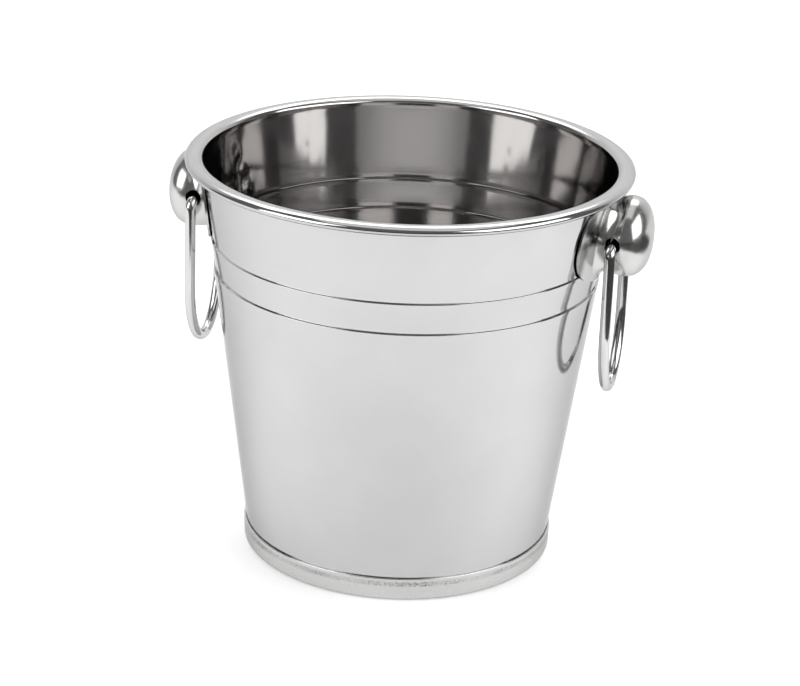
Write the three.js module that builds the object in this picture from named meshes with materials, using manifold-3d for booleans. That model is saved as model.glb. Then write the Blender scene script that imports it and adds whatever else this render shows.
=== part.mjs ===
import * as THREE from 'three';
import { mergeVertices } from 'three/addons/utils/BufferGeometryUtils.js';
import Module from 'manifold-3d';

// Ice bucket in polished stainless sheet. Millimetres, +Z up, origin at the centre of the base,
// the two lugs on the X axis.

const wasm = await Module();
wasm.setup();

// --- driving dimensions -------------------------------------------------------------------------
const RIM_OUTER_R = 103;          // outside of the rolled rim
const OVERALL_H = 190;            // floor to the top of the rim
const SHEET = 0.8;                // drawn sheet thickness
const FIT_GAP = 0.3;              // clearance between pieces that are welded or lapped
const ROUND_SEGMENTS = 64;        // facets round the bucket

// rolled rim: an elliptical curl that turns outward and down, open on its underside
const CURL_HALF_W = 4.2;
const CURL_HALF_H = 2.45;
const CURL_END_DEG = -122;
const CURL_OUTER_STEPS = 12;
const CURL_INNER_STEPS = 8;

// wall: collar, band and lower cone, each starting a little wider than the part above it ends
const WALL_TOP_R = RIM_OUTER_R - 2 * CURL_HALF_W + SHEET;
const WALL_TOP_Z = OVERALL_H - CURL_HALF_H;
const COLLAR_SLOPE = 0.146;
const BAND_SLOPE = 0.16;
const UPPER_LEDGE_Z = 151.2;
const LOWER_LEDGE_Z = 136.6;
const UPPER_LEDGE_W = 0.7;
const LOWER_LEDGE_W = 0.8;
const LEDGE_H = 0.35;
const FLOOR_UNDERSIDE_Z = 5.2;
const FLOOR_CORNER_R = 4.5;
const CORNER_STEPS = 3;

// foot band: lapped round the lower wall, its lower edge turned in to a flat lip
const FOOT_TOP_R = 73.3;
const FOOT_BOTTOM_R = 73.0;
const FOOT_H = 11.2;
const FOOT_CORNER_R = 2.4;
const FOOT_LIP_INNER_R = 63;

// lugs: a hollow pressed drum with a blunt face, on a saddle that follows the wall
const LUG_Z = 163.8;
const LUG_SHEET = 0.9;
const LUG_FACE_X = 113.9;
const LUG_BASE_X = 84;
const LUG_WAIST_X = 97.2;
const LUG_WAIST_R = 17.7;
const LUG_MAX_X = 102.5;
const LUG_MAX_R = 18.5;
const LUG_DOME_POWER = 2.4;
const LUG_FLARE_W = 1.6;          // trumpet-shaped fillet between saddle and drum
const LUG_FLARE_L = 4.5;
const LUG_FLARE_STEPS = 3;
const LUG_DOME_STEPS = 8;
const LUG_SEGMENTS = 36;
const SADDLE_RISE = 2.5;          // the saddle's outline sits a little higher than the drum
const SADDLE_TOP_Z = 184.3;       // trimmed just under the rolled rim
const SADDLE_SLOPE = 0.125;       // a little steeper than the collar, to bridge the upper ledge
const SADDLE_HALF_W = 35.5;
const SADDLE_HALF_H = 22;
const SADDLE_POWER = 2.5;
const SADDLE_SEGMENTS = 40;

// rings: closed links of round wire that hang through a hole in each side of the drum
const RING_X = 98.2;
const RING_WIRE_R = 2.5;
const RING_HOLE_R = 3.7;
const RING_HALF_W = 21.9;
const RING_BEND_R = 3.6;
const RING_LEG_L = 40.6;
const RING_ARC_H = 31.6;
const RING_WIRE_SIDES = 10;
const RING_BEND_STEPS = 6;
const RING_ARC_STEPS = 14;
const RING_JOIN_LAP = 1;
const RING_Z = LUG_Z - (RING_HOLE_R - RING_WIRE_R) + FIT_GAP;

// --- helpers ------------------------------------------------------------------------------------
const degrees = (value) => (value * Math.PI) / 180;

/** Points of an ellipse arc, from one angle to another, both in degrees. */
function ellipseArc(cx, cy, halfW, halfH, fromDeg, toDeg, steps) {
  const points = [];
  for (let i = 0; i <= steps; i += 1) {
    const angle = degrees(fromDeg + ((toDeg - fromDeg) * i) / steps);
    points.push(new THREE.Vector2(cx + halfW * Math.cos(angle), cy + halfH * Math.sin(angle)));
  }
  return points;
}

/** Revolves [radius, height] points round the Z axis. */
function revolve(profile, segments) {
  const geometry = new THREE.LatheGeometry(profile, segments);
  geometry.rotateX(Math.PI / 2);
  return geometry;
}

/** Turns a geometry into a manifold solid, dropping the needle triangles at a lathe's poles. */
function toSolid(geometry) {
  geometry.deleteAttribute('normal');
  geometry.deleteAttribute('uv');
  const merged = mergeVertices(geometry, 1e-4);
  const corners = merged.index.array;
  const triangles = [];
  for (let i = 0; i < corners.length; i += 3) {
    const [a, b, c] = [corners[i], corners[i + 1], corners[i + 2]];
    if (a !== b && b !== c && c !== a) {
      triangles.push(a, b, c);
    }
  }
  const mesh = new wasm.Mesh({
    numProp: 3,
    vertProperties: Float32Array.from(merged.attributes.position.array),
    triVerts: Uint32Array.from(triangles),
  });
  return new wasm.Manifold(mesh);
}

/** Turns a manifold solid back into a geometry. */
function toGeometry(solid) {
  const mesh = solid.getMesh();
  const geometry = new THREE.BufferGeometry();
  geometry.setAttribute('position', new THREE.BufferAttribute(mesh.vertProperties, 3));
  geometry.setIndex(new THREE.BufferAttribute(mesh.triVerts, 1));
  return geometry;
}

// --- materials ----------------------------------------------------------------------------------
function steel(color, roughness) {
  return new THREE.MeshStandardMaterial({ color, roughness, metalness: 1 });
}
const polishedSheet = () => steel(0xd2d4d4, 0.1);
const satinFoot = () => steel(0xc4c5c4, 0.32);
const satinLug = () => steel(0xc9c9c7, 0.24);
const polishedWire = () => steel(0xd0d0cf, 0.12);

function part(name, geometry, material) {
  const mesh = new THREE.Mesh(geometry, material);
  mesh.name = name;
  return mesh;
}

// --- bucket body --------------------------------------------------------------------------------
const collarR = (z) => WALL_TOP_R - (WALL_TOP_Z - z) * COLLAR_SLOPE;

/** Outside face of the wall, from the top of the floor corner up to the foot of the collar. */
function wallOutside() {
  const bandTop = new THREE.Vector2(
    collarR(UPPER_LEDGE_Z) + UPPER_LEDGE_W, UPPER_LEDGE_Z - LEDGE_H,
  );
  const bandBottomR = bandTop.x - (bandTop.y - LOWER_LEDGE_Z) * BAND_SLOPE;
  const coneTop = new THREE.Vector2(bandBottomR + LOWER_LEDGE_W, LOWER_LEDGE_Z - LEDGE_H);
  const footR = FOOT_TOP_R - SHEET - FIT_GAP;
  const cornerZ = FLOOR_UNDERSIDE_Z + FLOOR_CORNER_R;
  const coneSlope = (coneTop.x - footR) / (coneTop.y - FOOT_H);
  return [
    new THREE.Vector2(footR - (FOOT_H - cornerZ) * coneSlope, cornerZ),
    coneTop,
    new THREE.Vector2(bandBottomR, LOWER_LEDGE_Z),
    bandTop,
    new THREE.Vector2(collarR(UPPER_LEDGE_Z), UPPER_LEDGE_Z),
  ];
}

function bucketBody() {
  const outside = wallOutside();
  const curlX = RIM_OUTER_R - CURL_HALF_W;
  const outerCurl = ellipseArc(
    curlX, WALL_TOP_Z, CURL_HALF_W, CURL_HALF_H, CURL_END_DEG, 180, CURL_OUTER_STEPS,
  );
  const innerCurl = ellipseArc(
    curlX, WALL_TOP_Z, CURL_HALF_W - SHEET, CURL_HALF_H - SHEET, 180, CURL_END_DEG, CURL_INNER_STEPS,
  );
  const wallFoot = outside[0];
  const cornerX = wallFoot.x - FLOOR_CORNER_R;
  const cornerZ = wallFoot.y;
  const outerCorner = ellipseArc(
    cornerX, cornerZ, FLOOR_CORNER_R, FLOOR_CORNER_R, -90, 0, CORNER_STEPS,
  );
  const innerR = FLOOR_CORNER_R - SHEET;
  const innerCorner = ellipseArc(cornerX, cornerZ, innerR, innerR, 0, -90, CORNER_STEPS);
  const inside = outside.slice(1).reverse().map(
    ({ x, y }) => new THREE.Vector2(x - SHEET, y - SHEET / 2),
  );
  const profile = [
    new THREE.Vector2(0, FLOOR_UNDERSIDE_Z),
    ...outerCorner,
    ...outside.slice(1),
    ...innerCurl,
    ...outerCurl,
    ...inside,
    ...innerCorner,
    new THREE.Vector2(0, FLOOR_UNDERSIDE_Z + SHEET),
  ];
  return part('bucket_body', revolve(profile, ROUND_SEGMENTS), polishedSheet());
}

// --- foot band ----------------------------------------------------------------------------------
function footBand() {
  const cornerX = FOOT_BOTTOM_R - FOOT_CORNER_R;
  const innerR = FOOT_CORNER_R - SHEET;
  const profile = [
    new THREE.Vector2(FOOT_LIP_INNER_R, 0),
    ...ellipseArc(cornerX, FOOT_CORNER_R, FOOT_CORNER_R, FOOT_CORNER_R, -90, 0, CORNER_STEPS),
    new THREE.Vector2(FOOT_TOP_R, FOOT_H),
    new THREE.Vector2(FOOT_TOP_R - SHEET, FOOT_H),
    ...ellipseArc(cornerX, FOOT_CORNER_R, innerR, innerR, 0, -90, CORNER_STEPS),
    new THREE.Vector2(FOOT_LIP_INNER_R, SHEET),
    new THREE.Vector2(FOOT_LIP_INNER_R, 0),
  ];
  return part('foot_band', revolve(profile, ROUND_SEGMENTS), satinFoot());
}

// --- lugs ---------------------------------------------------------------------------------------
/** The cone the saddle is formed on, clear of collar and upper ledge, grown by an offset. */
function saddleCone(offset, topZ) {
  const bottomZ = LOWER_LEDGE_Z;
  const coneR = (z) => collarR(SADDLE_TOP_Z) - (SADDLE_TOP_Z - z) * SADDLE_SLOPE + offset;
  const profile = [
    new THREE.Vector2(0, bottomZ),
    new THREE.Vector2(coneR(bottomZ), bottomZ),
    new THREE.Vector2(coneR(topZ), topZ),
    new THREE.Vector2(0, topZ),
  ];
  return toSolid(revolve(profile, ROUND_SEGMENTS));
}

/** Drum profile as [radius, distance from the bucket's axis], shrunk by an inset. */
function drumProfile(inset) {
  const faceX = LUG_FACE_X - inset;
  const maxR = LUG_MAX_R - inset;
  const flareR = LUG_WAIST_R - inset + LUG_FLARE_W;
  const dome = [];
  for (let i = 0; i <= LUG_DOME_STEPS; i += 1) {
    const angle = (i / LUG_DOME_STEPS) * (Math.PI / 2);
    const along = Math.sin(angle) ** (2 / LUG_DOME_POWER);
    const across = i === LUG_DOME_STEPS ? 0 : Math.cos(angle) ** (2 / LUG_DOME_POWER);
    dome.push(new THREE.Vector2(maxR * across, LUG_MAX_X + (faceX - LUG_MAX_X) * along));
  }
  return [
    new THREE.Vector2(0, LUG_BASE_X),
    new THREE.Vector2(flareR, LUG_BASE_X),
    ...ellipseArc(flareR, LUG_WAIST_X, LUG_FLARE_W, LUG_FLARE_L, 270, 180, LUG_FLARE_STEPS),
    ...dome,
  ];
}

/** A drum-shaped solid whose axis is the lug's, pointing along +X. */
function drum(inset) {
  const geometry = revolve(drumProfile(inset), LUG_SEGMENTS);
  geometry.rotateY(Math.PI / 2);
  geometry.translate(0, 0, LUG_Z);
  return toSolid(geometry);
}

/** The saddle's outline, pushed through the wall along X. */
function saddlePrism() {
  const outline = new THREE.Shape();
  for (let i = 0; i < SADDLE_SEGMENTS; i += 1) {
    const angle = (i / SADDLE_SEGMENTS) * 2 * Math.PI;
    const [c, s] = [Math.cos(angle), Math.sin(angle)];
    const y = SADDLE_HALF_W * Math.sign(c) * Math.abs(c) ** (2 / SADDLE_POWER);
    const z = SADDLE_HALF_H * Math.sign(s) * Math.abs(s) ** (2 / SADDLE_POWER);
    if (i === 0) {
      outline.moveTo(y, z);
    } else {
      outline.lineTo(y, z);
    }
  }
  const geometry = new THREE.ExtrudeGeometry(outline, { depth: LUG_FACE_X, bevelEnabled: false });
  geometry.rotateX(Math.PI / 2);
  geometry.rotateZ(Math.PI / 2);
  geometry.translate(0, 0, LUG_Z + SADDLE_RISE);
  return toSolid(geometry);
}

function ringHole() {
  const length = 4 * LUG_MAX_R;
  const geometry = new THREE.CylinderGeometry(RING_HOLE_R, RING_HOLE_R, length, 24);
  geometry.translate(RING_X, 0, LUG_Z);
  return toSolid(geometry);
}

function lugShape() {
  const plate = saddlePrism().intersect(saddleCone(FIT_GAP + LUG_SHEET, SADDLE_TOP_Z));
  const lug = plate.add(drum(0)).subtract(drum(LUG_SHEET)).subtract(saddleCone(FIT_GAP, OVERALL_H));
  return toGeometry(lug.subtract(ringHole()));
}

// --- rings --------------------------------------------------------------------------------------
/** A path whose sections stand at given points, with mitred directions at each of them. */
class StationPath extends THREE.Curve {
  constructor(points) {
    super();
    this.points = points;
  }

  getPoint(t, target = new THREE.Vector3()) {
    const place = Math.min(Math.max(t, 0), 1) * (this.points.length - 1);
    const index = Math.min(Math.floor(place), this.points.length - 2);
    return target.lerpVectors(this.points[index], this.points[index + 1], place - index);
  }

  getPointAt(u, target) {
    return this.getPoint(u, target);
  }

  getTangentAt(u, target) {
    return this.getTangent(u, target);
  }
}

/** Round wire along one half of the link, from one leg to the other. */
function wireAlong(halfLine) {
  const mirrored = halfLine.slice(1).map(({ x, y }) => new THREE.Vector2(-x, y));
  const line = [...halfLine.slice().reverse(), ...mirrored];
  const stations = line.map(({ x, y }) => new THREE.Vector3(RING_X, x, RING_Z + y));
  const section = new THREE.Shape();
  section.absarc(0, 0, RING_WIRE_R, 0, 2 * Math.PI);
  return toSolid(new THREE.ExtrudeGeometry(section, {
    steps: stations.length - 1,
    curveSegments: RING_WIRE_SIDES / 2,
    extrudePath: new StationPath(stations),
  }));
}

/** The link: a straight top run, two tight bends, straight legs and a half-oval bottom. */
function ringShape() {
  const bendX = RING_HALF_W - RING_BEND_R;
  const joinY = -RING_LEG_L / 2;
  const top = [
    new THREE.Vector2(0, 0),
    ...ellipseArc(bendX, -RING_BEND_R, RING_BEND_R, RING_BEND_R, 90, 0, RING_BEND_STEPS),
    new THREE.Vector2(RING_HALF_W, joinY - RING_JOIN_LAP),
  ];
  const bottom = [
    ...ellipseArc(0, -RING_LEG_L, RING_HALF_W, RING_ARC_H, -90, 0, RING_ARC_STEPS),
    new THREE.Vector2(RING_HALF_W, joinY + RING_JOIN_LAP),
  ];
  return toGeometry(wireAlong(top).add(wireAlong(bottom)));
}

// --- assembly -----------------------------------------------------------------------------------
/** A copy turned half a turn about Z, for the opposite side of the bucket. */
function opposite(geometry) {
  const copy = geometry.clone();
  copy.rotateZ(Math.PI);
  return copy;
}

const bucket = new THREE.Group();
const lug = lugShape();
const ring = ringShape();
bucket.add(bucketBody());
bucket.add(footBand());
bucket.add(part('lug_right', lug, satinLug()));
bucket.add(part('lug_left', opposite(lug), satinLug()));
bucket.add(part('ring_right', ring, polishedWire()));
bucket.add(part('ring_left', opposite(ring), polishedWire()));

export default bucket;
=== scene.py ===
import math
import bmesh
import bpy
from mathutils import Matrix, Vector


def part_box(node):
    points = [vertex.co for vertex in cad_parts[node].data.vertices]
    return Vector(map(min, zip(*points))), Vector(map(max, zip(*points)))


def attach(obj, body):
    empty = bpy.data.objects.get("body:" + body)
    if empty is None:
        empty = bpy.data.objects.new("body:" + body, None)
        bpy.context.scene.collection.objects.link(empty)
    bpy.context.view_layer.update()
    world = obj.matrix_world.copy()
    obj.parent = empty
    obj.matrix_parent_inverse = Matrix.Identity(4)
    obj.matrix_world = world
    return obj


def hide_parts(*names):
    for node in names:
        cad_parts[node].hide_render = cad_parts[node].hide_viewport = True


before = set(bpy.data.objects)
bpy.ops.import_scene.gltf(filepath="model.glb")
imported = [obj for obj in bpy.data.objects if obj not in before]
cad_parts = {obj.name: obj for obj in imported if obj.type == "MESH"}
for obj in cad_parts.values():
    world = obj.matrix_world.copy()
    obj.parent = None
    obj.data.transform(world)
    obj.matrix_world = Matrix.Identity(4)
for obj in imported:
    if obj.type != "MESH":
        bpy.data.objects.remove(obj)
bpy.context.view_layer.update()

# Ice bucket looks. Lengths below are millimetres in the CAD frame; MM turns them into metres.
MM = 0.001

# --- the CAD's driving sizes --------------------------------------------------------------------
RIM_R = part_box("bucket_body")[1][0] / MM
HEIGHT = 190
SHEET = 0.8
FIT_GAP = 0.3
WALL_TO_FOOT = 0.1
SKIN, CURL_SKIN = 0.02, 0.05      # the looks stay this far inside the CAD's outermost faces
CURL_W, CURL_H = 4.2, 2.45        # half the width and half the height of the rolled rim
CURL_END = -122                   # where the roll stops, in degrees
WALL_TOP_R = RIM_R - 2 * CURL_W + SHEET
WALL_TOP_Z = HEIGHT - CURL_H
COLLAR_SLOPE, BAND_SLOPE = 0.146, 0.16
UPPER_Z, LOWER_Z = 151.2, 136.6
UPPER_LEDGE_W, LOWER_LEDGE_W, LEDGE_H = 0.7, 0.8, 0.35
FLOOR_Z = 5.2
FOOT_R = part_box("foot_band")[1][0] / MM
FOOT_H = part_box("foot_band")[1][2] / MM
FOOT_LIP_R = 63.0
FOOT_TAPER = 0.3
FOOT_LIP_T = 0.8
LUG_Z = 163.8
LUG_SHEET = 0.9
LUG_FACE_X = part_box("lug_right")[1][0] / MM
WAIST_R = 17.7
DRUM_X, DRUM_R = 102.5, 18.5
DOME_POWER = 2.4
FILLET, FILLET_SQUASH = 7.5, 0.9
SADDLE_W, SADDLE_H, SADDLE_POWER = 35.5, 22.0, 2.5
SADDLE_RISE, SADDLE_CLIP, SADDLE_SLOPE = 2.5, 20.5, 0.125
HOLE_R, CUTTER_REACH = 3.7, 30
WHOLE_LUG = 0.99                  # a lug that keeps more of its metal than this has no holes
RING_X, RING_Z = 98.2, 162.9
WIRE_R = 2.5
BUTT_DEPTH, BUTT_Y, BUTT_W = 0.12, -3, 1.1
RING_HALF_W, RING_BEND_R, RING_LEG, RING_ARC_H = 21.9, 3.6, 40.6, 31.6

# --- how finely the round pieces are cut --------------------------------------------------------
BODY_SEGMENTS, FOOT_SEGMENTS, LUG_SEGMENTS = 384, 256, 180
DOME_ROWS, NECK_ROWS, FILLET_ROWS, SADDLE_ROWS = 30, 8, 10, 14
WIRE_SIDES, HOLE_SIDES = 28, 48


# --- small geometry helpers ---------------------------------------------------------------------
def ellipse_arc(cx, cy, rx, ry, start, end, steps):
    """Points of an ellipse arc between two angles in degrees."""
    out = []
    for i in range(steps + 1):
        a = math.radians(start + (end - start) * i / steps)
        out.append((cx + rx * math.cos(a), cy + ry * math.sin(a)))
    return out


def rounded(points, radii, steps=5):
    """An open polyline with its inner corners rounded to the given radii."""
    out = [points[0]]
    for i in range(1, len(points) - 1):
        p0, p, p1 = Vector(points[i - 1]), Vector(points[i]), Vector(points[i + 1])
        a, b = (p0 - p).normalized(), (p1 - p).normalized()
        half = a.angle(b) / 2
        if radii[i] <= 0 or half > 1.55:
            out.append(tuple(p))
            continue
        reach = radii[i] / math.tan(half)
        centre = p + (a + b).normalized() * (radii[i] / math.sin(half))
        s, e = p + a * reach, p + b * reach
        for k in range(steps + 1):
            v = (s.lerp(e, k / steps) - centre).normalized() * radii[i]
            out.append(tuple(centre + v))
    out.append(points[-1])
    return out


def dense(points, step):
    """The same polyline with long straight runs cut into shorter ones."""
    out = [points[0]]
    for p, q in zip(points, points[1:]):
        n = max(1, int(math.dist(p, q) / step + 0.5))
        out += [(p[0] + (q[0] - p[0]) * k / n, p[1] + (q[1] - p[1]) * k / n)
                for k in range(1, n + 1)]
    return out


def new_object(name, verts, faces):
    """A smooth-shaded mesh object from points in millimetres."""
    mesh = bpy.data.meshes.new(name)
    mesh.from_pydata([(x * MM, y * MM, z * MM) for x, y, z in verts], [], faces)
    mesh.validate()
    obj = bpy.data.objects.new(name, mesh)
    bpy.context.collection.objects.link(obj)
    mesh.polygons.foreach_set("use_smooth", [True] * len(mesh.polygons))
    return obj


def lathe(name, profile, segments, closed, shift=None):
    """Revolves a profile of (radius, height). Points on the axis become one vertex each."""
    verts, rows = [], []
    for r, z in profile:
        if r < 1e-6:
            rows.append([len(verts)] * segments)
            verts.append((0, 0, z))
            continue
        row = []
        for k in range(segments):
            a = 2 * math.pi * k / segments
            dr = shift(r, z, a) if shift else 0
            row.append(len(verts))
            verts.append(((r + dr) * math.cos(a), (r + dr) * math.sin(a), z))
        rows.append(row)
    faces = []
    pairs = list(zip(rows, rows[1:])) + ([(rows[-1], rows[0])] if closed else [])
    for low, high in pairs:
        for k in range(segments):
            n = (k + 1) % segments
            face = []
            for v in (low[k], low[n], high[n], high[k]):
                if v not in face:
                    face.append(v)
            if len(face) > 2:
                faces.append(face)
    return new_object(name, verts, faces)


def collar_r(z):
    """Outside radius of the wall's collar."""
    return WALL_TOP_R - (WALL_TOP_Z - z) * COLLAR_SLOPE


# --- bucket body --------------------------------------------------------------------------------
WELDS = ((-26, 2), (-27.5, -7), (26, 2), (27.5, -7), (-22, 11), (22, 11))
WELD_DEPTH, WELD_SPREAD = 0.16, 5.5
PUCKER_HEIGHT, PUCKER_R, PUCKER_SPREAD = 0.09, 5.2, 6
BUCKLE_HEIGHT, BUCKLE_HALF_W, BUCKLE_HALF_H = 0.10, 30, 20
DENTS_FROM_Z, COLLAR_REACH = 140, 0.9


def weld_dents(r, z, a):
    """Shallow dents pressed into the wall by the spot welds behind each lug, in mm."""
    if z < DENTS_FROM_Z or r > collar_r(z) + COLLAR_REACH:
        return 0
    total = 0
    for side in (0, math.pi):
        across = math.atan2(math.sin(a - side), math.cos(a - side)) * r
        for y, h in WELDS:
            d2 = (across - y) ** 2 + (z - LUG_Z - h) ** 2
            total -= WELD_DEPTH * math.exp(-d2 / WELD_SPREAD)
            total += PUCKER_HEIGHT * math.exp(-((math.sqrt(d2) - PUCKER_R) ** 2) / PUCKER_SPREAD)
        fade = math.exp(-(across / BUCKLE_HALF_W) ** 4)
        fade *= math.exp(-((z - LUG_Z) / BUCKLE_HALF_H) ** 4)
        total += BUCKLE_HEIGHT * fade * math.sin(across * 0.31 + z * 0.13)
    return total


def body_profile():
    """The wall, floor and rolled rim as one closed run of (radius, height), starting at the axis."""
    band_top = collar_r(UPPER_Z) + UPPER_LEDGE_W
    band_bottom = band_top - (UPPER_Z - LEDGE_H - LOWER_Z) * BAND_SLOPE
    cone_r, cone_z = band_bottom + LOWER_LEDGE_W, LOWER_Z - LEDGE_H
    foot_r = FOOT_R - SHEET - WALL_TO_FOOT
    base_r = foot_r - (FOOT_H - FLOOR_Z) * (cone_r - foot_r) / (cone_z - FOOT_H)
    outside = [(0, FLOOR_Z), (base_r, FLOOR_Z), (cone_r, cone_z), (band_bottom, LOWER_Z),
               (band_top, UPPER_Z - LEDGE_H), (collar_r(UPPER_Z), UPPER_Z),
               (WALL_TOP_R, WALL_TOP_Z - 0.5)]
    radii = [0, 4.5, 0.3, 0.3, 0.3, 0.3, 0]
    inside = [(r - SHEET, z - SHEET / 2) for r, z in reversed(outside[2:])]
    inside += [(base_r - SHEET, FLOOR_Z + SHEET), (0, FLOOR_Z + SHEET)]
    in_radii = [0, 0.9, 0.9, 0.9, 0.9, 3.7, 0]
    cx = RIM_R - CURL_W - SKIN
    curl_in = ellipse_arc(cx, WALL_TOP_Z, CURL_W - SHEET, CURL_H - SHEET, 180, CURL_END, 30)
    curl_out = ellipse_arc(cx, WALL_TOP_Z, CURL_W, CURL_H - CURL_SKIN, CURL_END, 180, 44)
    return (dense(rounded(outside, radii), 2.0) + curl_in + curl_out
            + dense(rounded(inside, in_radii), 2.0))


def make_body():
    return lathe("bucket_shell", body_profile(), BODY_SEGMENTS, False, weld_dents)


# --- foot band ----------------------------------------------------------------------------------
def make_foot():
    low_r = FOOT_R - FOOT_TAPER
    line = [(FOOT_LIP_R, FOOT_LIP_T), (FOOT_LIP_R, 0.0), (low_r, 0.0), (FOOT_R, FOOT_H),
            (FOOT_R - SHEET, FOOT_H), (low_r - SHEET, FOOT_LIP_T), (FOOT_LIP_R, FOOT_LIP_T)]
    profile = rounded(line, [0, 0.2, 2.4, 0.5, 0.1, 1.6, 0])[:-1]
    return lathe("foot_ring", dense(profile, 1.2), FOOT_SEGMENTS, True)


# --- lugs ---------------------------------------------------------------------------------------
def saddle_x(y, z):
    """Outer face of the saddle above the wall."""
    cone_r = collar_r(LUG_Z + SADDLE_CLIP) - (SADDLE_CLIP - z) * SADDLE_SLOPE
    return math.sqrt((cone_r + FIT_GAP + LUG_SHEET) ** 2 - y * y)


def outline_r(a):
    """Distance from the lug's axis to the saddle's edge, trimmed flat under the rim."""
    c, s = math.cos(a), math.sin(a)
    low, high = 0.0, 60.0
    for _ in range(40):
        r = (low + high) / 2
        y, z = abs(r * c) / SADDLE_W, abs(r * s - SADDLE_RISE) / SADDLE_H
        inside = y ** SADDLE_POWER + z ** SADDLE_POWER < 1 and r * s < SADDLE_CLIP
        low, high = (r, high) if inside else (low, r)
    return low


def lug_rows(a):
    """(radius, x) of one line from the middle of the drum's face out to the saddle's edge."""
    c, s = math.cos(a), math.sin(a)
    rows = []
    dome_h = LUG_FACE_X - SKIN - DRUM_X
    for i in range(1, DOME_ROWS + 1):
        t = i / DOME_ROWS * math.pi / 2
        along = max(math.cos(t), 0) ** (2 / DOME_POWER)
        rows.append((DRUM_R * math.sin(t) ** (2 / DOME_POWER), DRUM_X + dome_h * along))
    edge = outline_r(a)
    fillet = min(FILLET, (edge - WAIST_R) * 0.85)
    foot_r = WAIST_R + fillet
    foot_x = saddle_x(foot_r * c, foot_r * s)
    neck_x = foot_x + fillet * FILLET_SQUASH
    for i in range(1, NECK_ROWS + 1):
        t = i / NECK_ROWS
        rows.append((DRUM_R + (WAIST_R - DRUM_R) * (1 - math.cos(math.pi * t)) / 2,
                     DRUM_X + (neck_x - DRUM_X) * t))
    for i in range(1, FILLET_ROWS + 1):
        t = i / FILLET_ROWS * math.pi / 2
        r = foot_r - fillet * math.cos(t)
        x = neck_x - fillet * FILLET_SQUASH * math.sin(t)
        rows.append((r, max(x, saddle_x(r * c, r * s))))
    for i in range(1, SADDLE_ROWS + 1):
        r = foot_r + (edge - foot_r) * i / SADDLE_ROWS
        rows.append((r, saddle_x(r * c, r * s)))
    return rows


def lug_surface(name, sign):
    """The lug's outer face as one open surface: a fan of rows round the drum's axis."""
    verts, faces = [(sign * (LUG_FACE_X - SKIN), 0, LUG_Z)], []
    count = DOME_ROWS + NECK_ROWS + FILLET_ROWS + SADDLE_ROWS
    for k in range(LUG_SEGMENTS):
        a = 2 * math.pi * k / LUG_SEGMENTS
        for r, x in lug_rows(a):
            verts.append((sign * x, sign * r * math.cos(a), LUG_Z + r * math.sin(a)))
    for k in range(LUG_SEGMENTS):
        n = (k + 1) % LUG_SEGMENTS
        here, there = 1 + k * count, 1 + n * count
        faces.append((0, here, there))
        for i in range(count - 1):
            faces.append((here + i, here + i + 1, there + i + 1, there + i))
    return new_object(name, verts, faces)


def apply_modifiers(obj):
    """Replaces the object's mesh with its evaluated one."""
    depsgraph = bpy.context.evaluated_depsgraph_get()
    mesh = bpy.data.meshes.new_from_object(obj.evaluated_get(depsgraph))
    obj.modifiers.clear()
    obj.data = mesh


def volume(mesh):
    """The volume a closed mesh holds, negative where its faces point inwards."""
    solid = bmesh.new()
    solid.from_mesh(mesh)
    held = solid.calc_volume(signed=True)
    solid.free()
    return held


def hole_cutter(name, sign):
    """A rod across the lug. Its faces point outwards, or the boolean adds metal instead of cutting."""
    ring = ellipse_arc(0, 0, HOLE_R, HOLE_R, 0, 360, HOLE_SIDES)[:-1]
    verts = [(sign * RING_X + u, y, LUG_Z + v)
             for y in (-CUTTER_REACH, CUTTER_REACH) for u, v in ring]
    n = len(ring)
    faces = [tuple(range(n)), tuple(range(2 * n - 1, n - 1, -1))]
    faces += [(i, n + i, n + (i + 1) % n, (i + 1) % n) for i in range(n)]
    return new_object(name, verts, faces)


def make_lug(name, sign):
    lug = lug_surface(name, sign)
    solid = lug.modifiers.new("sheet", "SOLIDIFY")
    solid.thickness = LUG_SHEET * MM
    solid.offset = -1
    solid.use_even_offset = True
    apply_modifiers(lug)
    cutter = hole_cutter(name + "_cutter", sign)
    cut = lug.modifiers.new("hole", "BOOLEAN")
    cut.operation = "DIFFERENCE"
    cut.object = cutter
    cut.solver = "MANIFOLD"
    before = volume(lug.data)
    apply_modifiers(lug)
    if volume(lug.data) > WHOLE_LUG * before:
        raise RuntimeError("the ring's holes were not cut through " + name)
    bpy.data.objects.remove(cutter)
    for poly in lug.data.polygons:
        poly.use_smooth = True
    lug.data.set_sharp_from_angle(angle=math.radians(40))
    return lug


# --- rings --------------------------------------------------------------------------------------
def link_line():
    """The link's closed centre line as (across, down) points."""
    bend_x = RING_HALF_W - RING_BEND_R
    top = [(bend_x * k / 8, 0) for k in range(8)]
    bend = ellipse_arc(bend_x, -RING_BEND_R, RING_BEND_R, RING_BEND_R, 90, 0, 14)
    leg = [(RING_HALF_W, -RING_BEND_R - (RING_LEG - RING_BEND_R) * k / 14) for k in range(1, 14)]
    arc = ellipse_arc(0, -RING_LEG, RING_HALF_W, RING_ARC_H, 0, -90, 40)
    half = top + bend + leg + arc
    return half + [(-x, y) for x, y in reversed(half[1:-1])]


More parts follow.
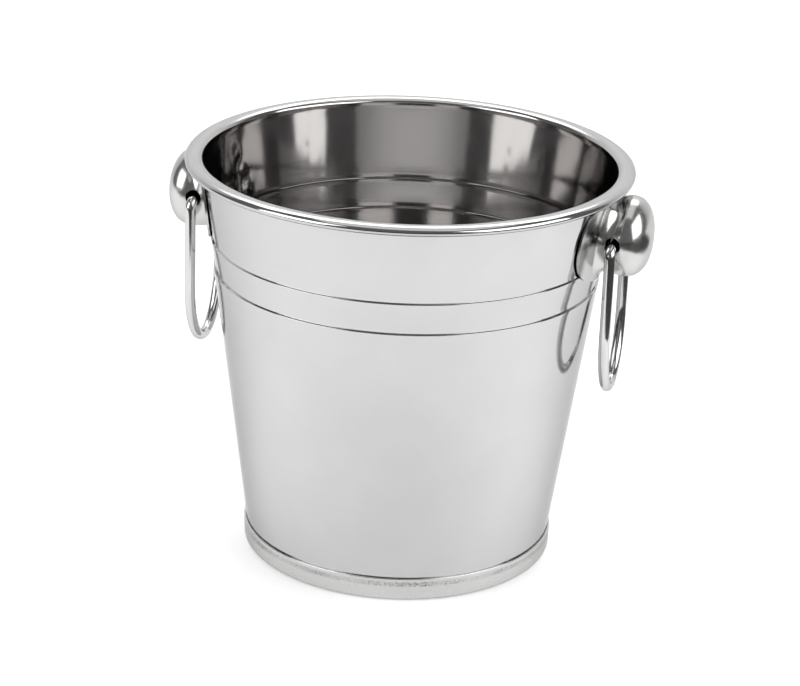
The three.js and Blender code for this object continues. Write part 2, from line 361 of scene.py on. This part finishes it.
def make_ring(name, sign):
    """The closed link, with the slight groove that its butt weld leaves near the bottom."""
    line = link_line()
    sides = WIRE_SIDES
    count = len(line)
    verts, faces = [], []
    for i, (across, down) in enumerate(line):
        a, b = line[i - 1], line[(i + 1) % count]
        t = Vector((b[0] - a[0], b[1] - a[1])).normalized()
        side = Vector((-t.y, t.x))
        weld = BUTT_DEPTH * math.exp(-((across - BUTT_Y) / BUTT_W) ** 2) if down < -RING_LEG else 0
        for k in range(sides):
            ang = 2 * math.pi * k / sides
            rad = WIRE_R - SKIN - weld
            verts.append((sign * RING_X + rad * math.sin(ang),
                          across + side.x * rad * math.cos(ang),
                          RING_Z + down + side.y * rad * math.cos(ang)))
    for i in range(count):
        for k in range(sides):
            n, m = (i + 1) % count, (k + 1) % sides
            faces.append((i * sides + k, i * sides + m, n * sides + m, n * sides + k))
    return new_object(name, verts, faces)


# --- materials ----------------------------------------------------------------------------------
class Nodes:
    """Short hand for building a node tree."""

    def __init__(self, name):
        self.material = bpy.data.materials.new(name)
        self.material.use_nodes = True
        self.tree = self.material.node_tree
        self.shader = self.tree.nodes["Principled BSDF"]

    def add(self, kind, **values):
        node = self.tree.nodes.new(kind)
        for key, value in values.items():
            setattr(node, key, value)
        return node

    def link(self, a, b):
        self.tree.links.new(a, b)

    def math(self, operation, a, b=None):
        node = self.add("ShaderNodeMath", operation=operation)
        for socket, value in zip(node.inputs, (a, b)):
            if value is None:
                continue
            if isinstance(value, (int, float)):
                socket.default_value = value
            else:
                self.link(value, socket)
        return node.outputs[0]

    def noise(self, vector, scale, detail=2.0, rough=0.5, distortion=0.0):
        node = self.add("ShaderNodeTexNoise")
        self.link(vector, node.inputs["Vector"])
        node.inputs["Scale"].default_value = scale
        node.inputs["Detail"].default_value = detail
        node.inputs["Roughness"].default_value = rough
        node.inputs["Distortion"].default_value = distortion
        return node.outputs["Fac"]

    def ramp(self, value, low, high, out_low=0.0, out_high=1.0):
        node = self.add("ShaderNodeMapRange")
        self.link(value, node.inputs["Value"])
        node.inputs["From Min"].default_value = low
        node.inputs["From Max"].default_value = high
        node.inputs["To Min"].default_value = out_low
        node.inputs["To Max"].default_value = out_high
        return node.outputs["Result"]

    def combine(self, x, y, z):
        node = self.add("ShaderNodeCombineXYZ")
        for socket, value in zip(node.inputs, (x, y, z)):
            if isinstance(value, (int, float)):
                socket.default_value = value
            else:
                self.link(value, socket)
        return node.outputs[0]

    def blend(self, below, colour, mask):
        """The colour below, turned into the given one where the mask is 1."""
        node = self.add("ShaderNodeMix", data_type="RGBA")
        node.inputs["B"].default_value = (*colour, 1)
        self.link(below, node.inputs["A"])
        self.link(mask, node.inputs["Factor"])
        return node.outputs["Result"]

    def bump(self, height, strength, distance, below=None):
        node = self.add("ShaderNodeBump")
        node.inputs["Strength"].default_value = strength
        node.inputs["Distance"].default_value = distance
        self.link(height, node.inputs["Height"])
        if below:
            self.link(below, node.inputs["Normal"])
        return node.outputs["Normal"]


def drum_shade_mask(n, x, y, z):
    """1 inside the cavity of either lug's drum, where the painted shade goes; 0 on its outer face."""
    up = n.math("SUBTRACT", z, LUG_Z * MM)
    from_axis = n.math("SQRT", n.math("ADD", n.math("MULTIPLY", y, y), n.math("MULTIPLY", up, up)))
    past = n.math("MAXIMUM", n.math("SUBTRACT", n.math("ABSOLUTE", x), DRUM_X * MM), 0.0)
    mid_sheet = LUG_SHEET / 2
    across = n.math("DIVIDE", from_axis, (WAIST_R - mid_sheet) * MM)
    along = n.math("DIVIDE", past, (LUG_FACE_X - DRUM_X - mid_sheet) * MM)
    across = n.math("POWER", across, DOME_POWER)
    along = n.math("POWER", along, DOME_POWER)
    return n.math("LESS_THAN", n.math("ADD", across, along), 1.0)


EDGE_TINT = (0.62, 0.62, 0.62, 1)                # keeps grazing reflections from turning white
SPUN_ROUND, SPUN_UP = 2.2, 2400.0                # polishing lines that run round the axis
RUBBED_ACROSS, RUBBED_UP = 260.0, 1900.0         # short lines on the pressed and bent pieces
CLOUD_SIZE, SMUDGE_SIZE, WAVE_SIZE = 26.0, 60.0, 34.0
WAVE_DEPTH, LINE_DEPTH, SCUFF_DEPTH = 0.0006, 0.00004, 0.00025
FLOOR_SHADE_FROM, FLOOR_SHADE_TO = 0.03, 0.02      # the painted shade on the floor inside the bucket starts below this height
STRIPE_EDGE = 0.0006
STRIPE_ROUND, STRIPE_UP = 70.0, 1100.0
WORN_COLOUR, WORN_SHARE, WORN_ROUGH = 0.15, 0.8, 0.15


def polishing_lines(n, x, y, z, turn, spin):
    """Fine streaks: round the axis on spun sheet, short and level on the other pieces."""
    if spin:
        grain = n.combine(n.math("MULTIPLY", turn, SPUN_ROUND), n.math("MULTIPLY", z, SPUN_UP), 0.0)
    else:
        grain = n.combine(n.math("MULTIPLY", x, RUBBED_ACROSS), n.math("MULTIPLY", y, RUBBED_ACROSS),
                          n.math("MULTIPLY", z, RUBBED_UP))
    return n.noise(grain, 1.0, 3.0, 0.6)


def roughness(n, rough, where, x, z, turn, streak):
    """The roughness, raised by streaks, smudges and fine scratches."""
    smudge = n.noise(where, SMUDGE_SIZE, 4.0, 0.6, 0.8)
    scratch_way = n.combine(n.math("MULTIPLY", turn, 9.0), n.math("MULTIPLY", z, 70.0),
                            n.math("MULTIPLY", x, 20.0))
    scratch = n.ramp(n.noise(scratch_way, 9.0, 8.0, 0.75, 1.5), 0.62, 0.72)
    level = n.math("ADD", n.ramp(streak, 0.3, 0.7, rough * 0.8, rough * 1.2),
                   n.ramp(smudge, 0.45, 0.75, 0.0, rough * 0.35))
    return n.math("ADD", level, n.math("MULTIPLY", scratch, rough * 0.5))


def clouded(n, colour, where, streak):
    """The steel's colour, a little darker and lighter in soft clouds."""
    cloud = n.noise(where, CLOUD_SIZE, 3.0, 0.55)
    tint = n.add("ShaderNodeMix", data_type="RGBA")
    tint.inputs["A"].default_value = (*[c * 0.975 for c in colour], 1)
    tint.inputs["B"].default_value = (*[min(1, c * 1.02) for c in colour], 1)
    share = n.ramp(n.math("ADD", cloud, n.math("MULTIPLY", streak, 0.4)), 0.5, 0.9)
    n.link(share, tint.inputs["Factor"])
    return tint.outputs["Result"]


def inside_shade_mask(n, x, y, z):
    """1 where the bucket's inside is painted darker as shade: on the faces that look towards the axis
    and on the floor, 0 outside.
    """
    facing = n.add("ShaderNodeTexCoord").outputs["Normal"]
    parts = n.add("ShaderNodeSeparateXYZ")
    n.link(facing, parts.inputs[0])
    away = n.math("ADD", n.math("MULTIPLY", x, parts.outputs[0]),
                  n.math("MULTIPLY", y, parts.outputs[1]))
    low = n.ramp(z, FLOOR_SHADE_FROM, FLOOR_SHADE_TO)
    on_floor = n.math("MULTIPLY", n.ramp(parts.outputs[2], 0.3, 0.7), low)
    return n.math("MAXIMUM", n.ramp(away, -0.02, -0.05), on_floor)


def scuffed_stripe(n, z, turn, low, high):
    """A stripe between two heights: its marks, as bump height, and where the steel is worn."""
    inside = n.math("MULTIPLY", n.ramp(z, low, low + STRIPE_EDGE), n.ramp(z, high, high - STRIPE_EDGE))
    marks_at = n.combine(n.math("MULTIPLY", turn, STRIPE_ROUND),
                         n.math("MULTIPLY", z, STRIPE_UP), 0.0)
    marks = n.noise(marks_at, 1.0, 5.0, 0.8)
    patches_at = n.combine(n.math("MULTIPLY", turn, 2.0), 0.0, 0.0)
    patchy = n.ramp(n.noise(patches_at, 1.0), 0.35, 0.6)
    worn = n.math("MULTIPLY", n.math("MULTIPLY", inside, patchy), n.ramp(marks, 0.44, 0.58))
    return n.math("MULTIPLY", inside, marks), worn


def steel(name, colour, rough, spin=True, wave=1.0, lines=1.0, scuff=None, painted_inside_shade=None,
          painted_drum_shade=None):
    """Stainless steel: polishing lines, faint waves, fine scratches and smudges, and painted shade
    where asked, inside the bucket or inside the lug drums.
    """
    n = Nodes(name)
    n.shader.inputs["Metallic"].default_value = 1.0
    n.shader.inputs["Specular Tint"].default_value = EDGE_TINT
    where = n.add("ShaderNodeTexCoord").outputs["Object"]
    split = n.add("ShaderNodeSeparateXYZ")
    n.link(where, split.inputs[0])
    x, y, z = split.outputs
    turn = n.math("ARCTAN2", y, x)
    streak = polishing_lines(n, x, y, z, turn, spin)
    level = roughness(n, rough, where, x, z, turn, streak)
    shade = clouded(n, colour, where, streak)
    normal = n.bump(n.noise(where, WAVE_SIZE, 1.0, 0.4), 0.35 * wave, WAVE_DEPTH)
    normal = n.bump(streak, 0.10 * lines, LINE_DEPTH, normal)
    # painted shade: the faces inside the bucket and its floor get a darker colour
    if painted_inside_shade:
        shade = n.blend(shade, painted_inside_shade, inside_shade_mask(n, x, y, z))
    # painted shade: the inside of each lug's drum is coloured near black
    if painted_drum_shade:
        shade = n.blend(shade, painted_drum_shade, drum_shade_mask(n, x, y, z))
    if scuff:
        height, worn = scuffed_stripe(n, z, turn, *scuff)
        level = n.math("ADD", level, n.math("MULTIPLY", worn, WORN_ROUGH))
        shade = n.blend(shade, [c * WORN_COLOUR for c in colour], n.math("MULTIPLY", worn, WORN_SHARE))
        normal = n.bump(height, 0.5, SCUFF_DEPTH, normal)
    n.link(shade, n.shader.inputs["Base Color"])
    n.link(level, n.shader.inputs["Roughness"])
    n.link(normal, n.shader.inputs["Normal"])
    return n.material


def plain(name, colour, rough=0.9, lift=0.0):
    """A matte stage surface, lifted by a little light of its own."""
    n = Nodes(name)
    n.shader.inputs["Base Color"].default_value = (*colour, 1)
    n.shader.inputs["Roughness"].default_value = rough
    n.shader.inputs["Emission Color"].default_value = (1, 1, 1, 1)
    n.shader.inputs["Emission Strength"].default_value = lift
    return n.material


def glow(name, colour, strength):
    material = bpy.data.materials.new(name)
    material.use_nodes = True
    tree = material.node_tree
    tree.nodes.clear()
    out = tree.nodes.new("ShaderNodeOutputMaterial")
    light = tree.nodes.new("ShaderNodeEmission")
    light.inputs["Color"].default_value = (*colour, 1)
    light.inputs["Strength"].default_value = strength
    tree.links.new(light.outputs[0], out.inputs["Surface"])
    return material


# --- the object ---------------------------------------------------------------------------------
# The sheet's second colour is painted shade, given to the faces inside the bucket and to its floor.
SHEET_STEEL = steel("polished_sheet", (0.56, 0.562, 0.562), 0.075, wave=0.3,
                    painted_inside_shade=(0.49, 0.48, 0.475))
FOOT_STEEL = steel("satin_foot", (0.60, 0.60, 0.595), 0.24, scuff=(0.0070, 0.0098), lines=2.5)
# The lug's near-black second colour is painted shade inside its drums.
LUG_STEEL = steel("satin_lug", (0.60, 0.60, 0.59), 0.20, spin=False, lines=1.0, wave=0.5,
                  painted_drum_shade=(0.03, 0.03, 0.03))
WIRE_STEEL = steel("polished_wire", (0.62, 0.62, 0.615), 0.08, spin=False, wave=0.4)

PIECES = [
    (make_body(), "bucket", "bucket_body", "polished_sheet", SHEET_STEEL),
    (make_foot(), "bucket", "foot_band", "satin_foot", FOOT_STEEL),
    (make_lug("lug_shell_right", 1), "bucket", "lug_right", "satin_lug", LUG_STEEL),
    (make_lug("lug_shell_left", -1), "bucket", "lug_left", "satin_lug", LUG_STEEL),
    (make_ring("ring_link_right", 1), "ring_right", "ring_right", "polished_wire", WIRE_STEEL),
    (make_ring("ring_link_left", -1), "ring_left", "ring_left", "polished_wire", WIRE_STEEL),
]
for piece, body, node, slot, material in PIECES:
    piece.data.materials.clear()
    piece.data.materials.append(material)
    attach(piece, body)
    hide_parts(node)


# --- stage --------------------------------------------------------------------------------------
def card(name, centre, width, height, aim, material):
    """A flat stage card of that size in metres, facing a point."""
    mesh = bpy.data.meshes.new(name)
    w, h = width / 2, height / 2
    mesh.from_pydata([(-w, -h, 0), (w, -h, 0), (w, h, 0), (-w, h, 0)], [], [(0, 1, 2, 3)])
    obj = bpy.data.objects.new(name, mesh)
    bpy.context.collection.objects.link(obj)
    way = (Vector(aim) - Vector(centre)).normalized()
    obj.matrix_world = Matrix.Translation(centre) @ way.to_track_quat("Z", "Y").to_matrix().to_4x4()
    obj.data.materials.append(material)
    return obj


FLOOR_DROP = 0.0004               # keeps the floor clear of the foot


def backdrop(material):
    """A floor that curves up into a wall behind the object."""
    near, flat_end, bend_r, top = -3.0, 1.2, 0.8, 3.2
    bend = ellipse_arc(flat_end, bend_r, bend_r, bend_r, -84, 0, 14)
    line = [(near, 0.0), (flat_end, 0.0), *bend, (flat_end + bend_r, top)]
    verts, faces = [], []
    turn = Matrix.Rotation(CAMERA_TURN, 3, "Z")
    for along, up in line:
        for side in (-4, 4):
            verts.append(turn @ Vector((side, along, up - FLOOR_DROP)))
    for i in range(len(line) - 1):
        faces.append((2 * i, 2 * i + 1, 2 * i + 3, 2 * i + 2))
    mesh = bpy.data.meshes.new("floor_and_backdrop")
    mesh.from_pydata(verts, [], faces)
    obj = bpy.data.objects.new("floor_and_backdrop", mesh)
    bpy.context.collection.objects.link(obj)
    mesh.polygons.foreach_set("use_smooth", [True] * len(mesh.polygons))
    mesh.materials.append(material)
    return obj


CAMERA_TURN = math.radians(13.5)
PITCH, YAW, ROLL = 0.3701, 0.0014, 0.0382
DISTANCE, EYE_Z = 1.16898, 0.5516
SENSOR_MM, VIEW_W = 36, 800
FOCAL = 2672.64                   # in the same unit as VIEW_W


def make_camera():
    """The camera as fitted to the rim, ledge and foot ellipses."""
    data = bpy.data.cameras.new("camera")
    data.sensor_width = SENSOR_MM
    data.lens = FOCAL * SENSOR_MM / VIEW_W
    obj = bpy.data.objects.new("camera", data)
    bpy.context.collection.objects.link(obj)
    base = Matrix(((1, 0, 0), (0, 0, -1), (0, 1, 0)))
    cp, sp = math.cos(PITCH), math.sin(PITCH)
    cy, sy = math.cos(YAW), math.sin(YAW)
    cr, sr = math.cos(ROLL), math.sin(ROLL)
    rx = Matrix(((1, 0, 0), (0, cp, -sp), (0, sp, cp)))
    ry = Matrix(((cy, 0, sy), (0, 1, 0), (-sy, 0, cy)))
    rz = Matrix(((cr, -sr, 0), (sr, cr, 0), (0, 0, 1)))
    rows = rz @ rx @ ry @ base
    turn = Matrix.Rotation(CAMERA_TURN, 3, "Z")
    right, down, forward = [turn @ Vector(rows[i]) for i in range(3)]
    look = Matrix((right, -down, -forward)).transposed().to_4x4()
    eye = turn @ Vector((0, -DISTANCE, EYE_Z))
    obj.matrix_world = Matrix.Translation(eye) @ look
    bpy.context.scene.camera = obj


def from_camera(side, along, up):
    """A point given as seen from the camera: right, away and up, in metres."""
    return Matrix.Rotation(CAMERA_TURN, 3, "Z") @ Vector((side, along, up))


def area(name, place, aim, width, height, power):
    """A rectangular lamp, aimed at a point."""
    data = bpy.data.lights.new(name, "AREA")
    data.shape = "RECTANGLE"
    data.size, data.size_y = width, height
    data.energy = power
    obj = bpy.data.objects.new(name, data)
    bpy.context.collection.objects.link(obj)
    way = (Vector(aim) - Vector(place)).normalized()
    facing = (-way).to_track_quat("Z", "Y").to_matrix().to_4x4()
    obj.matrix_world = Matrix.Translation(place) @ facing
    return obj


FAR = 3


def dark_table_edge(material):
    """The dark room beyond the table's edge: seen only as a reflection in the steel."""
    edge = [(0.11, -0.375), (0.26, -0.29), (0.40, -0.08), (0.44, 0.35), (FAR, 0.6)]
    line = edge + [(FAR, -FAR), (-FAR, -FAR), (-FAR, -0.6)]
    mesh = bpy.data.meshes.new("dark_table_edge")
    mesh.from_pydata([from_camera(x, y, 0.001) for x, y in line], [], [tuple(range(len(line)))])
    obj = bpy.data.objects.new("dark_table_edge", mesh)
    bpy.context.collection.objects.link(obj)
    mesh.materials.append(material)
    obj.visible_camera = False
    obj.visible_diffuse = False
    obj.visible_shadow = False


make_camera()
backdrop(plain("backdrop_white", (0.92, 0.92, 0.92), lift=0.3))
CENTRE = (0, 0, 0.1)
WHITE = (1, 1, 1)
SOFT_WHITE = glow("softbox_white", WHITE, 3.0)
OVERHEAD = glow("softbox_over", WHITE, 0.9)
DARK = plain("dark_card", (0.02, 0.02, 0.02))
card("softbox_left", from_camera(-1.5, -0.9, 1.0), 1.3, 1.5, CENTRE, SOFT_WHITE)
card("softbox_right", from_camera(1.5, -0.9, 1.0), 1.9, 1.5, CENTRE, SOFT_WHITE)
card("softbox_back", from_camera(0, 1.3, 1.9), 2.4, 0.9, CENTRE, SOFT_WHITE)
dark_table_edge(DARK)
card("softbox_over", (0, 0, 2.2), 1.7, 1.7, CENTRE, OVERHEAD)
fill = area("floor_fill", from_camera(0, 0.2, 2.5), CENTRE, 2.0, 2.0, 6)
fill.visible_glossy = False

world = bpy.data.worlds.new("studio")
bpy.context.scene.world = world
world.use_nodes = True
world.node_tree.nodes["Background"].inputs["Color"].default_value = (1, 1, 1, 1)
world.node_tree.nodes["Background"].inputs["Strength"].default_value = 0.16
bpy.context.scene.view_settings.view_transform = "Standard"
